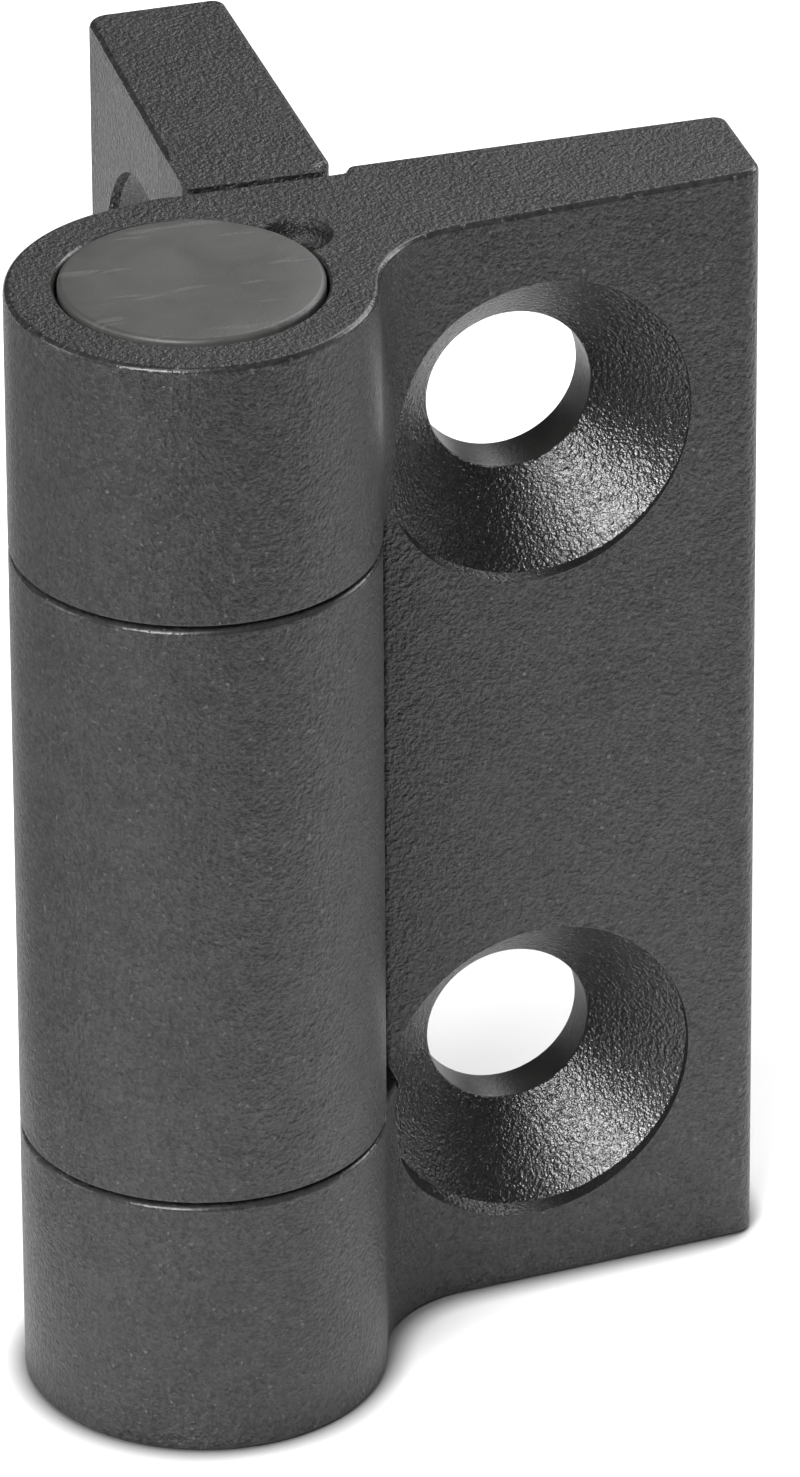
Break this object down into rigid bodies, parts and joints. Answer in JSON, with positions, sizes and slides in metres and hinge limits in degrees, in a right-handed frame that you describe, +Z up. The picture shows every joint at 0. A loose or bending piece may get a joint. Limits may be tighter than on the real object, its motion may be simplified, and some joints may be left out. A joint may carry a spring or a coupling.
{
  "type": "square knuckle hinge",
  "caption": "Black die-cast knuckle hinge with two equal square wings, countersunk screw holes, a capped barrel and a pin turning in flanged bushes.",
  "frame": {"origin": "on the fixed wing's mounting face, midway between its two screw holes", "axes": "+Y is the outward normal of the fixed wing's mounting face, +Z runs up the hinge pin, +X runs from the pin towards the fixed wing's free end"},
  "size_m": [0.0389, 0.0389, 0.0602],
  "materials": {
    "powder_coat": "black fine-textured powder coat on a zinc die casting",
    "powder_coat_moving": "black fine-textured powder coat on a zinc die casting",
    "cap_plastic": "satin black-grey moulded plastic",
    "bush_plastic": "smooth black acetal",
    "pin_steel": "ground stainless steel",
    "washer_steel": "zinc plated steel",
    "ring_steel": "oiled spring steel"
  },
  "bodies": {
    "fixed_side": {"fixed_wing": "powder_coat", "hinge_pin": "pin_steel", "top_cap": "cap_plastic", "bottom_cap": "cap_plastic", "upper_washer": "washer_steel", "lower_washer": "washer_steel", "upper_retaining_ring": "ring_steel", "lower_retaining_ring": "ring_steel"},
    "moving_side": {"moving_wing": "powder_coat_moving", "upper_bush": "bush_plastic", "lower_bush": "bush_plastic"}
  },
  "joints": [
    {"name": "wing_swing", "type": "hinge", "parent": "fixed_side", "child": "moving_side", "pos_m": [-0.018, -0.01, 0], "axis": [0, 0, 1], "range_deg": [0, 270]}
  ]
}
